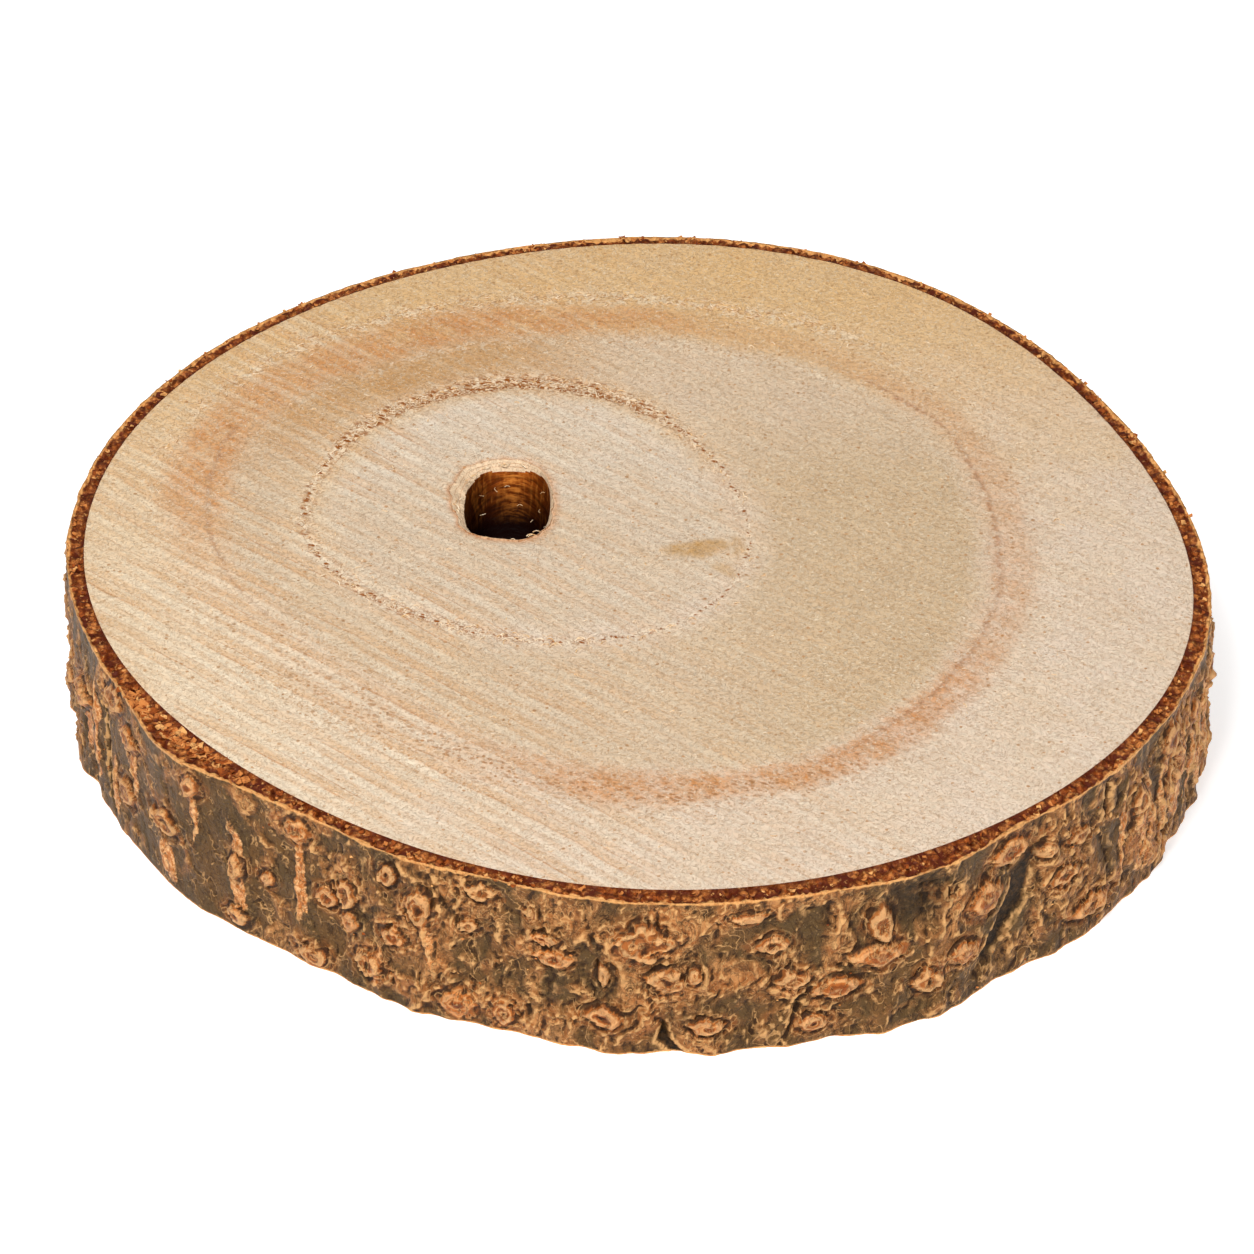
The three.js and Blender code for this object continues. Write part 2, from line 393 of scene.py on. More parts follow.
def woodMasks(flat):
    x, y, _ = xyz(flat)
    inner, innerDegrees = acrossRing(flat, innerRing)
    outer, outerDegrees = acrossRing(flat, outerRing)
    innerTurn = calc("FRACT", ratio(innerDegrees, 360.0))
    outerTurn = calc("FRACT", ratio(outerDegrees, 360.0))
    waver = bentBy(flat, 0.5, 0.9)
    mottle = noise(flat, 0.14, 3.0, 0.6)
    stains = [product(blot(waver, *stain), strength) for *stain, strength in woodStains]
    return {
        "innerAcross": inner,
        "outerAcross": outer,
        "innerTorn": curved(innerTurn,
                            [(0.0, 0.15), (0.08, 0.25), (0.14, 0.7), (0.22, 1.0), (0.34, 0.9), (0.42, 0.6),
                             (0.5, 0.35), (0.62, 0.4), (0.7, 0.45), (0.8, 0.2), (1.0, 0.15)]),
        "redBand": curved(outerTurn,
                          [(0.0, 0.4), (0.1, 0.4), (0.17, 0.3), (0.23, 0.75), (0.29, 1.0), (0.46, 1.0),
                           (0.5, 0.5), (0.56, 0.25), (0.66, 0.2), (0.7, 0.3), (0.77, 0.9), (0.88, 0.95),
                           (0.93, 0.5), (1.0, 0.4)]),
        "lowerSide": curved(outerTurn,
                            [(0.0, 0.4), (0.1, 0.35), (0.2, 0.15), (0.5, 0.2), (0.62, 0.8), (0.7, 1.0),
                             (0.8, 1.0), (0.88, 0.5), (1.0, 0.4)]),
        "upperSide": curved(outerTurn,
                            [(0.0, 0.15), (0.1, 0.4), (0.2, 0.95), (0.36, 1.0), (0.48, 0.4), (0.55, 0.6),
                             (0.66, 0.9), (0.72, 0.3), (1.0, 0.15)]),
        "stain": largest(*stains),
        "mottle": mottle,
        "leftSide": product(ramp(total(product(x, -1.0), product(y, -0.2)), -20, 30, 0.15, 1.0),
                            ramp(noise(shifted(flat, 60, 3, 0), 0.07, 2.0), 0.35, 0.6, 0.25, 1.0)),
        "warmth": ramp(total(product(x, -0.15), y, swing(mottle, 16)), -4, 42),
        "ochre": product(ramp(y, 8, 28, smooth=True), ramp(x, 2, -18, smooth=True)),
    }


def woodTree():
    tree, given, out = newTree("sawWoodRound", "GeometryNodeTree", {
        "Geometry": "Geometry",
        "Saw Depth": sawnWood["sawDepth"],
        "Torn Depth": sawnWood["tornDepth"],
        "Material": "Material",
        "Bore Material": "Material",
    }, {"Geometry": "Geometry"})
    endOfFace = 1 + sawnWood["faceRows"]
    endOfBore = endOfFace + sawnWood["boreRows"]
    rows = endOfBore + sawnWood["undersideRows"]
    geometry, degrees, row, cosine, sine = ringGrid(sawnWood["columns"], rows, sawnWood["seam"])
    onFace = ramp(row, 1, endOfFace)
    downBore = calc("POWER", ramp(row, endOfFace, endOfBore), sawnWood["boreCrowding"])
    onUnderside = ramp(row, endOfBore, rows)
    fromHole = calc("POWER", total(minus(1.0, onFace), onUnderside), sawnWood["faceCrowding"])
    height = minus(ramp(row, 0, 1), downBore)
    z = product(height, sliceThickness)
    mouth, broken = holeRadius(degrees, cosine, sine, z)
    edge = wavyRadius(degrees, trunk)
    x = ramp(fromHole, 0, 1, scaled(cosine, mouth, hole["x"]), scaled(cosine, edge, trunk["middle"][0]))
    y = ramp(fromHole, 0, 1, scaled(sine, mouth, hole["y"]), scaled(sine, edge, trunk["middle"][1]))
    flat = vector(x, y, 0.0)
    # relief of the two sawn faces: torn growth rings, saw marks, rounded edges
    masks = woodMasks(flat)
    phase = sawPhase(flat)
    ragged = ramp(noise(flat, 1.1, 3.0, 0.6), 0.4, 0.62)
    innerBand = product(bell(masks["innerAcross"], *innerRing["tornBand"]), masks["innerTorn"])
    outerBand = product(bell(masks["outerAcross"], *outerRing["tornBand"]), masks["upperSide"], 0.6)
    torn = product(largest(innerBand, outerBand), ragged, given["Torn Depth"])
    saw = product(minus(1.0, calc("SINE", phase)), given["Saw Depth"])
    worn = product(calc("EXPONENT", product(minus(1.0, fromHole), -80.0)), sawnWood["edgeWear"])
    sag = product(calc("EXPONENT", product(fromHole, -90.0)), sawnWood["mouthSag"])
    low = total(torn, saw, worn, sag)
    onTop = equals(height, 1.0)
    onFoot = equals(height, 0.0)
    finalZ = scaled(minus(onFoot, onTop), low, z)
    masks["sawPhase"] = phase
    masks["rim"] = calc("EXPONENT", product(fromHole, -60.0))
    inBore = product(equals(fromHole, 0.0), calc("LESS_THAN", broken, 0.02))
    geometry = keep(geometry, bore=inBore, tornDown=minus(1.0, broken), **masks)
    geometry = closedRing(geometry, x, y, finalZ, given["Material"])
    darkened = put("GeometryNodeSetMaterial", {
        "Geometry": geometry, "Selection": calc("GREATER_THAN", named("bore"), 0.5),
        "Material": given["Bore Material"]})
    plug(darkened.outputs[0], out["Geometry"])
    return tree


# The bark

bark = {
    "columns": 1290, "footRows": 5, "skinRows": 60, "cutRows": 8,
    "seam": 90,  # degrees; behind, as seen in the photograph
    "thickness": 1.75, "thinnerAtBack": 0.4, "thinnest": 0.8,
    "ridgeHeight": 0.5, "bulgeHeight": 0.75, "wrinkleHeight": 0.75, "crestHeight": 0.3,
    "layers": 7.0, "layerStep": 0.13, "corkRise": 0.25, "poreRise": 0.85, "edgeLip": 0.15, "footLobes": 0.7,
    "cutPitDepth": 0.45,
    "smoothZone": (218, 20), "darkZone": (303, 18),  # at, spread (degrees)
    "uprightZones": [(336, 14), (198, 9), (60, 30)],  # where the folds stand up
}
barkSwells = [  # at, spread, rise, share kept at the foot
    (217, 7, 2.0, 0.45), (236, 5, -0.6, 1.0), (255, 7, -0.7, 0.6), (297, 7, 0.9, 0.7), (308, 5, -0.6, 1.0),
]
clearPores = [  # at (degrees round from +X), up, wide, tall (millimetres)
    (208.5, 14.5, 3.6, 2.4), (220.5, 16.2, 2.0, 2.4), (229.5, 8.6, 1.8, 1.8), (233.5, 16.6, 2.8, 2.4),
    (239.8, 7.9, 2.0, 2.4), (237, 9.6, 2.4, 2.2), (245, 8.6, 2.6, 2.0), (252, 2.4, 3.6, 3.2),
    (256.5, 2.4, 2.2, 2.8), (261.6, 10.8, 3.8, 1.9), (260.6, 12.9, 2.4, 1.3), (266.3, 4.4, 3.2, 2.2),
    (276, 3.5, 3.2, 1.7), (279.8, 16.8, 3.2, 1.2), (282, 13, 2.6, 2.0), (286, 2.5, 2.6, 1.8),
    (288, 6.6, 4.6, 2.2), (292, 10, 4.8, 2.4), (303.5, 12, 3.8, 3.6), (306.5, 16.2, 4.4, 2.8),
    (301, 6.8, 3.2, 2.2), (317.5, 3.4, 5.0, 2.2),
]
roughPores = [  # the same, for those that are hard to make out
    (205, 17, 4, 2.6), (207, 6.5, 3.4, 2.8), (215.5, 8.6, 4.5, 2.8), (225.5, 8.5, 1.8, 3),
    (225.3, 1.8, 2.6, 2.2), (235, 1.4, 3, 2.2), (239.5, 11.5, 3, 3), (244.5, 16.3, 2.2, 2.5),
    (253, 12.4, 2, 1.6), (254.5, 17, 3.2, 1.8), (259.3, 15.8, 1, 1.2), (266.3, 9.7, 1.2, 2.2),
    (270, 13.8, 5, 4), (272.5, 9.2, 4.4, 2.6), (274.8, 9.8, 1.4, 2), (292.2, 13.8, 2.2, 4),
    (310.9, 13.8, 2, 1.6), (315.3, 13.8, 2.6, 1.8), (313.5, 9.6, 3, 2), (331, 15.6, 3.8, 3.8),
    (333, 11, 3, 4), (242, 3.6, 3, 3), (248, 13.5, 2.6, 3.6), (284, 8.4, 3, 2), (297, 5, 3, 2.4),
    (325, 12, 2.4, 3),
]
# those behind are drawn at random; "facing" is the part that the photograph shows
hiddenPores = {"count": 44, "first": 97, "last": 443, "facing": (196, 338), "seed": 7}
streaks = [  # at, up, wide, tall: pale corky seams that run up the bark
    (196, 8.5, 2.4, 10), (209.5, 11, 2, 8), (215.5, 3.5, 2.5, 6), (220.7, 13, 1.2, 10), (225.7, 7, 1.5, 16),
    (233.6, 11, 1.8, 13), (243.5, 4, 1.6, 6), (249, 9, 1.2, 9), (326, 8, 3.2, 13), (333.8, 9, 2.6, 12),
    (341, 9, 2, 16), (199.5, 10, 1.3, 15), (204, 5, 1.4, 9), (322, 9, 1.3, 13), (329.5, 8, 1.2, 15),
    (337.5, 10, 1.2, 15), (345, 9, 1.6, 14), (20, 8, 1.8, 13), (47, 11, 1.4, 10), (118, 7, 1.8, 12),
    (147, 10, 1.3, 14), (168, 8, 2, 9),
]
breaks = [  # at, up, wide, tall, lean, sink: where the bark is broken away
    (296, 15.5, 8, 7, 0, 0.7), (307, 9, 2.8, 13, 0.55, 1.0), (331.6, 9, 0.9, 14, 0.1, 0.9),
    (339.3, 8, 0.8, 13, 0.05, 0.8), (201.6, 9, 0.8, 14, -0.1, 0.8), (284.5, 4, 0.8, 8, 0.5, 0.5),
    (272.7, 0.8, 1.4, 6, -0.45, 1.1), (319.3, 16, 1.3, 5, 0, 0.9), (36, 14, 5, 5, 0.2, 0.8),
    (128, 12, 2.2, 9, -0.4, 0.8),
]
mmPerDegree = math.radians(trunk["radius"] + bark["thickness"])


def porePoints():
    draw = random.Random(hiddenPores["seed"])
    uniform = draw.uniform
    marks = [(*spot, uniform(0.55, 1.0)) for spot in clearPores]
    marks += [(*spot, uniform(0.0, 0.45)) for spot in roughPores]
    first, last, (facingFrom, facingTo) = hiddenPores["first"], hiddenPores["last"], hiddenPores["facing"]
    for number in range(hiddenPores["count"]):
        at = first + (last - first) * (number + draw.random()) / hiddenPores["count"]
        mark = (at, uniform(2, 17), uniform(2.0, 5.2), uniform(1.8, 3.4), draw.random())
        if not facingFrom < at < facingTo:
            marks.append(mark)
    return pointCloud("porePoints", [(at * mmPerDegree, up, 0.0) for at, up, *_ in marks],
                      {"wide": [mark[2] for mark in marks], "tall": [mark[3] for mark in marks],
                       "shade": [mark[4] for mark in marks]})


def ovalMask(degrees, z, at, up, wide, tall, lean=0.0, power=4.0):
    above = minus(z, up)
    along = scaled(above, -lean, product(wrappedDegrees(degrees, at), mmPerDegree))
    across = ratio(along, wide / 2)
    rise = ratio(above, tall / 2)
    return calc("EXPONENT", product(calc("POWER", hypotenuse(across, rise), power), -1.0))


def nearestPore(points, degrees, z, place):
    jitter = put("ShaderNodeTexNoise", {"Vector": place, "Scale": 0.9, "Detail": 2.0}).outputs[1]
    unrolled = vector(product(degrees, mmPerDegree), z, 0.0)
    query = put("ShaderNodeVectorMath", {0: jitter, 1: (1.0, 0.9, 0.0), 2: unrolled},
                operation="MULTIPLY_ADD").outputs[0]
    query = shifted(query, -0.5, -0.45, 0.0)
    nearest = put("GeometryNodeSampleNearest", {"Geometry": points, "Sample Position": query},
                  domain="POINT").outputs["Index"]

    def ofPore(value, kind="FLOAT"):
        return put("GeometryNodeSampleIndex", {"Geometry": points, "Value": value, "Index": nearest},
                   data_type=kind, domain="POINT").outputs["Value"]

    middle = ofPore(put("GeometryNodeInputPosition").outputs[0], "FLOAT_VECTOR")
    x, y, _ = xyz(put("ShaderNodeVectorMath", {0: query, 1: middle}, operation="SUBTRACT").outputs[0])
    across = ratio(product(x, 2.0), ofPore(named("wide")))
    above = ratio(product(y, 2.0), ofPore(named("tall")))
    rounded = hypotenuse(across, above)
    pointed = total(calc("ABSOLUTE", across), calc("ABSOLUTE", above))
    away = total(product(rounded, 0.52), product(pointed, 0.36))
    return away, ofPore(named("shade"))


def barkTree():
    tree, given, out = newTree("growBark", "GeometryNodeTree", {
        "Geometry": "Geometry",
        "Ridge Height": bark["ridgeHeight"],
        "Bulge Height": bark["bulgeHeight"],
        "Wrinkle Height": bark["wrinkleHeight"],
        "Cork Rise": bark["corkRise"],
        "Pore Rise": bark["poreRise"],
        "Material": "Material",
    }, {"Geometry": "Geometry"})
    endOfFoot = bark["footRows"]
    endOfSkin = endOfFoot + bark["skinRows"]
    endOfCut = endOfSkin + bark["cutRows"]
    geometry, degrees, row, cosine, sine = ringGrid(bark["columns"], endOfCut + 1, bark["seam"])
    outward = minus(ramp(row, 0, endOfFoot), ramp(row, endOfSkin, endOfCut))
    height = minus(ramp(row, endOfFoot, endOfSkin), ramp(row, endOfCut, endOfCut + 1))
    z = product(height, sliceThickness)
    level = scaled(outward, 0.7, z)
    place = vector(product(cosine, trunk["radius"]), product(sine, trunk["radius"]), level)
    bent = bentBy(place, 0.35, 1.6)

    thickness = scaled(sine, -bark["thinnerAtBack"], bark["thickness"])
    for at, spread, rise, kept in barkSwells:
        swell = product(zone(degrees, at, spread), ramp(height, 0.0, 1.0, kept, 1.0), rise)
        thickness = total(thickness, swell)

    # how rough the bark is: smooth plates at the left of the photograph, knobbly at its front and right
    rough = ramp(zone(degrees, *bark["smoothZone"]), 0.0, 1.0, 1.0, 0.25)
    ridges = swing(noise(stretched(bent, 1, 1, 0.1), 0.2, 2.0), 1.5)
    bulges = calc("ABSOLUTE", swing(noise(stretched(bent, 1, 1, 0.3), 0.3, 2.0)))
    upright = ramp(largest(*(zone(degrees, *spot) for spot in bark["uprightZones"])), 0.25, 0.65)
    lying = noise(stretched(bent, 1, 1, 0.5), 0.42, 1.0, 0.4, 0.8)
    standing = noise(stretched(bent, 1, 1, 0.12), 0.5, 1.0, 0.4, 0.6)
    wrinkles = calc("ABSOLUTE", swing(ramp(upright, 0.0, 1.0, lying, standing)))
    layers = product(noise(stretched(bent, 1, 1, 0.6), 0.3, 3.0, 0.6, 0.6), bark["layers"])
    step = calc("FRACT", layers)
    sheet = total(calc("FLOOR", layers), ramp(step, 0.0, 0.16, smooth=True), -4.5)
    besides = shifted(stretched(bent, 1, 1, 0.5), 11, 4, 8)
    crestLines = calc("ABSOLUTE", swing(noise(besides, 0.36, 1.0, 0.4, 0.9)))
    crests = ramp(crestLines, 0.1, 0.0, smooth=True)
    patches = noise(shifted(stretched(bent, 1, 1, 0.8), 40, 9, 3), 0.17, 2.0, 0.55, 0.8)
    darker = zone(degrees, *bark["darkZone"])
    cork = total(patches, ramp(rough, 0.3, 1.0, -0.1, 0.0), product(darker, -0.06))
    corky = ramp(cork, 0.45, 0.58, smooth=True)
    busy = product(ramp(cork, 0.4, 0.54, 0.3, 1.0), rough)

    pore, poreShade = nearestPore(given["Geometry"], degrees, z, place)
    clear = calc("GREATER_THAN", poreShade, 0.5)
    warp = ramp(clear, 0.0, 1.0, 0.5, 0.14)
    pore = scaled(swing(noise(place, 0.8, 2.0)), warp, pore)
    hollow = ramp(poreShade, 0.72, 0.8, 1.0, -1.0)
    dome = ramp(pore, 1.08, 0.7, smooth=True)
    lip = product(bell(pore, 0.78, 0.13), ramp(wrinkles, 0.0, 0.4, 0.2, 1.4))
    poreShape = total(product(dome, 0.6), product(lip, 0.24), product(bell(pore, 0.0, 0.34), hollow, -0.3),
                      product(bell(pore, 1.14, 0.13), ramp(wrinkles, 0.1, 0.5), -0.14))
    eddies = product(calc("SINE", scaled(pore, 8.0, product(wrinkles, 2.0))), ramp(pore, 1.15, 1.35),
                     ramp(pore, 2.5, 1.4))
    wavering = total(degrees, swing(noise(stretched(place, 1, 1, 0.7), 0.4, 2.0), 1.6))
    seams = largest(*(ovalMask(wavering, z, *streak) for streak in streaks))
    broken = largest(*(product(ovalMask(wavering, z, *spot), sink) for *spot, sink in breaks))

    fromCut = calc("MINIMUM", z, minus(sliceThickness, z))
    lipShape = product(calc("EXPONENT", product(fromCut, -1.4)), bark["edgeLip"])
    plain = minus(1.0, dome)
    relief = total(
        product(ridges, given["Ridge Height"]),
        product(minus(calc("POWER", bulges, 0.6), 0.35), given["Bulge Height"], plain, rough),
        product(minus(wrinkles, 0.25), given["Wrinkle Height"], busy),
        product(sheet, bark["layerStep"], plain),
        product(corky, given["Cork Rise"], plain),
        product(crests, bark["crestHeight"], plain, busy),
        product(eddies, 0.14),
        product(poreShape, given["Pore Rise"]),
        product(seams, 0.35),
        product(broken, ramp(wrinkles, 0, 0.6, -1.25, -0.7)),
        lipShape)
    calm = ramp(fromCut, 0.0, 2.5, 0.2, 1.0)
    lobes = product(swing(noise(stretched(place, 1, 1, 0.1), 0.2, 1.0), 2.0),
                    calc("EXPONENT", product(z, -0.3)), bark["footLobes"], rough)
    thick = largest(total(scaled(relief, calm, thickness), lobes), bark["thinnest"])

    # the cut faces are pitted, but keep to their plane at both rims
    pits = ramp(noise(place, 1.3, 3.0, 0.7), 0.42, 0.6, smooth=True)
    onBand = product(ramp(outward, 0.0, 0.15), ramp(outward, 1.0, 0.85))
    onTop = equals(height, 1.0)
    onFoot = equals(height, 0.0)
    finalZ = total(z, product(pits, onBand, bark["cutPitDepth"], minus(onFoot, onTop)))

    inward = product(minus(1.0, outward), thick)
    geometry = keep(geometry, pore=pore, poreShade=poreShade, inward=inward, layers=layers, relief=relief,
                    seams=seams, broken=broken, outward=outward, cork=cork)
    # relief against its blurred surroundings: the bark's colours paint highlight on its crests and shade in
    # its creases from it
    around = put("GeometryNodeBlurAttribute", {"Value": named("relief"), "Iterations": 4},
                 data_type="FLOAT").outputs["Value"]
    geometry = keep(geometry, cavity=minus(named("relief"), around))
    radius = scaled(outward, thick, wavyRadius(degrees, trunk))
    x = scaled(cosine, radius, trunk["middle"][0])
    y = scaled(sine, radius, trunk["middle"][1])
    plug(closedRing(geometry, x, y, finalZ, given["Material"]), out["Geometry"])
    return tree


# Colours, as they look in daylight

def linear(part):
    return part / 12.92 if part <= 0.04045 else ((part + 0.055) / 1.055) ** 2.4


def painted(codes):
    return {name: (*(linear(int(code[at:at + 2], 16) / 255) for at in (0, 2, 4)), 1.0)
            for name, code in codes.items()}


def mixed(share, first, second):
    node = put("ShaderNodeMix", data_type="RGBA")
    for slot, value in ((0, share), (6, first), (7, second)):
        plug(underWay["colours"][value] if isinstance(value, str) else value, node.inputs[slot])
    return node.outputs[2]


def newMaterial(name, colours, roughness, sheen=0.3):
    material = bpy.data.materials.new(name)
    material.use_nodes = True
    underWay["tree"], underWay["colours"] = material.node_tree, colours
    shader = material.node_tree.nodes["Principled BSDF"]
    shader.inputs["Roughness"].default_value = roughness
    shader.inputs["Specular IOR Level"].default_value = sheen
    place = stretched(put("ShaderNodeTexCoord").outputs["Object"], 1 / mm, 1 / mm, 1 / mm)
    return material, shader, place


def attribute(name):
    return put("ShaderNodeAttribute", attribute_name=name).outputs["Fac"]


def dress(shader, colour, height):
    bump = put("ShaderNodeBump", {"Strength": 1.0, "Distance": mm, "Height": height})
    plug(colour, shader.inputs["Base Color"])
    plug(bump.outputs[0], shader.inputs["Normal"])


def group(nodeTree, **inputs):
    node = put("ShaderNodeGroup", {name.replace("_", " "): value for name, value in inputs.items()},
               node_tree=nodeTree)
    return node.outputs


def openPoresGroup():
    tree, given, out = newTree("openPores", "ShaderNodeTree", {
        "Place": "Vector",
        "Per Millimetre": 1.2,
        "Radius": 0.25,
    }, {"Pores": "Float", "Chance": "Float"})
    spot = put("ShaderNodeTexVoronoi", {"Vector": given["Place"], "Scale": given["Per Millimetre"]},
               voronoi_dimensions="2D")
    chance, second, _ = xyz(spot.outputs["Color"])
    away = ratio(spot.outputs["Distance"], given["Per Millimetre"])
    size = product(given["Radius"], ramp(second, 0, 1, 0.6, 1.3))
    plug(ramp(ratio(away, size), 1.1, 0.6, smooth=True), out["Pores"])
    plug(chance, out["Chance"])
    return tree


def fibreFuzzGroup():
    tree, given, out = newTree("fibreFuzz", "ShaderNodeTree", {
        "Place": "Vector",
        "Per Millimetre": 1.5,
        "Fineness": 0.1,
    }, {"Light": "Float", "Dark": "Float", "Field": "Float"})
    # short strands lie along two heights of one bent field, broken up by where a second field is high
    field = noise(given["Place"], given["Per Millimetre"], 1.0, 0.5, 1.8)
    patches = noise(shifted(given["Place"], 31, 17, 5), product(given["Per Millimetre"], 1.1), 1.0)
    fine = ratio(1.0, given["Fineness"])
    lightLine = calc("ABSOLUTE", minus(field, 0.47))
    darkLine = calc("ABSOLUTE", minus(field, 0.55))
    light = ramp(product(lightLine, 2.0, fine), 1.0, 0.2)
    dark = ramp(product(darkLine, 2.0, fine), 1.0, 0.2)
    plug(product(light, ramp(patches, 0.46, 0.56)), out["Light"])
    plug(product(dark, ramp(patches, 0.54, 0.44)), out["Dark"])
    plug(field, out["Field"])
    return tree


def sawMarksGroup():
    tree, given, out = newTree("sawMarks", "ShaderNodeTree", {
        "Place": "Vector",
        "Phase": 0.0,
    }, {"Bands": "Float", "Lines": "Float", "Scratches": "Float"})
    wave = calc("SINE", given["Phase"])
    slanted = turned(given["Place"], sawnWood["sawSlant"])
    scratches = noise(stretched(slanted, 0.1, 2.2, 1), 1.0, 3.0, 0.6)
    slower = calc("SINE", scaled(given["Phase"], 0.37, 1.0))
    plug(ramp(scaled(slower, 0.7, wave), -0.8, 1.5), out["Bands"])
    finer = calc("SINE", scaled(given["Phase"], 1.37, product(scratches, 3.0)))
    plug(product(ramp(finer, 0.86, 1.0), ramp(slower, -0.6, 0.6, 0.3, 1.0),
                 ramp(scratches, 0.35, 0.6, 0.2, 1.0)), out["Lines"])
    plug(scratches, out["Scratches"])
    return tree


openPores = openPoresGroup()
fibreFuzz = fibreFuzzGroup()
sawMarks = sawMarksGroup()

woodColours = painted({
    "rosy": "E3CEB8", "cream": "F2DDBE", "warm": "E3B87E", "heart": "DAC6AE", "heartPale": "E6D8C6",
    "oliveRight": "C8AB84", "ochreLeft": "C28B48", "sandy": "E0C39C", "redBand": "CE8544",
    "rustyDots": "9E5C18", "paleFibre": "F7E6CA", "darkFibre": "BE9468", "pore": "B67F49",
    "stain": "C0904E", "sawLine": "BE7A44", "sawBand": "DFAE7A", "ringLine": "A87452",
    "ringBrown": "985412", "rim": "EDD0AC", "rimLine": "B4743E", "boreTop": "AC5012", "boreLow": "150200",
    "boreGlint": "E8923E",
})


def woodMaterial():
    material, shader, place = newMaterial("sawnWoodSurface", woodColours, 0.72)
    x, y, _ = xyz(place)
    flat = stretched(place, 1, 1, 0.2)
    ragged = noise(shifted(flat, 3, 8, 0), 0.9, 2.0, 0.7)
    wobble = swing(ragged, 1.1)
    in1 = total(attribute("innerAcross"), wobble)
    out1 = total(attribute("outerAcross"), wobble)
    fuzz = group(fibreFuzz, Place=flat, Per_Millimetre=1.75, Fineness=0.14)
    spots = group(openPores, Place=flat, Per_Millimetre=1.6, Radius=0.19)
    dots, chance = spots["Pores"], spots["Chance"]
    slanted = stretched(turned(flat, 25), 0.7, 1.5, 1)
    pits = group(openPores, Place=slanted, Per_Millimetre=0.95, Radius=0.3)
    longDots = product(pits["Pores"], calc("LESS_THAN", pits["Chance"], 0.75),
                       ramp(ragged, 0.3, 0.45, 0.5, 1.0))
    marks = group(sawMarks, Place=flat, Phase=attribute("sawPhase"))

    # the plain colour: rosy at the right, warm at the left, olive between the rings, pale in the middle
    colour = mixed(ramp(x, -10, -45, 0, 0.9), "rosy", "cream")
    colour = mixed(largest(attribute("warmth"), ramp(x, -46, -58, 0, 0.35)), colour, "warm")
    between = product(ramp(in1, 0.0, 5.0, smooth=True), ramp(out1, -1.0, -5.0, smooth=True))
    colour = mixed(product(between, 0.8), colour, "rosy")
    olive = product(ramp(x, 2, 20, 0.5, 0.85), ramp(y, 12, 28, 1.0, 0.35))
    colour = mixed(product(between, olive), colour, "oliveRight")
    colour = mixed(product(between, attribute("ochre"), 0.9), colour, "ochreLeft")
    heart = mixed(ramp(y, 2, 24), "heart", "heartPale")
    colour = mixed(product(ramp(in1, 0.5, -3.0, smooth=True), 0.9), colour, heart)
    mottle = attribute("mottle")
    colour = mixed(ramp(mottle, 0.35, 0.68, 0.0, 0.35), colour, "sandy")

    # the outer growth ring: a soft reddish band, with rusty dots below and a pale torn line above
    redBand = attribute("redBand")
    width = ramp(x, -20, 10, 3.6, 2.4)
    uneven = total(ramp(mottle, 0.35, 0.6, 0.6, 1.0), product(marks["Bands"], 0.3), swing(ragged, 1.0))
    band = product(slab(out1, 0.0, width), redBand, uneven)
    colour = mixed(product(band, 0.7), colour, "redBand")
    lowerSide, upperSide = attribute("lowerSide"), attribute("upperSide")
    dotted = product(largest(longDots, product(dots, calc("LESS_THAN", chance, 0.3))), bell(out1, 0.8, 3.2),
                     lowerSide)
    commas = product(ramp(calc("ABSOLUTE", minus(ragged, 0.5)), 0.05, 0.02), ramp(fuzz["Field"], 0.44, 0.5))
    colour = mixed(product(dotted, 0.8), colour, "rustyDots")
    closeTo = total(attribute("outerAcross"), swing(ragged, 0.5), 1.3)
    ringLine = product(bell(closeTo, 0.0, 0.3), ramp(ragged, 0.42, 0.55, 0.35, 1.0),
                       ramp(upperSide, 0.5, 0.9, 1.0, 0.0), ramp(lowerSide, 0.5, 0.9, 1.0, 0.2))
    colour = mixed(product(ringLine, 0.7), colour, "ringLine")
    outerLines = largest(bell(out1, 4.6, 1.4), product(bell(out1, -4.2, 1.0), 0.7))
    tornLine = product(outerLines, upperSide)
    clumps = ramp(ragged, 0.47, 0.57)
    colour = mixed(product(tornLine, clumps, 0.5), colour, "paleFibre")
    colour = mixed(product(tornLine, commas, 0.8), colour, "pore")

    # saw marks and fibres all over
    leftSide = attribute("leftSide")
    colour = mixed(product(ramp(marks["Bands"], 0.5, 0.0), leftSide, 0.3), colour, "paleFibre")
    colour = mixed(product(marks["Bands"], leftSide, 0.6), colour, "sawBand")
    colour = mixed(product(marks["Lines"], leftSide, 0.7), colour, "sawLine")
    colour = mixed(ramp(marks["Scratches"], 0.42, 0.72, 0.0, 0.3), colour, "darkFibre")
    colour = mixed(product(fuzz["Light"], 0.5), colour, "paleFibre")
    colour = mixed(product(fuzz["Dark"], 0.5), colour, "darkFibre")
    scatter = product(dots, calc("LESS_THAN", chance, 0.06), ramp(ragged, 0.35, 0.6, 0.4, 1.0))
    colour = mixed(product(scatter, 0.75), colour, "pore")

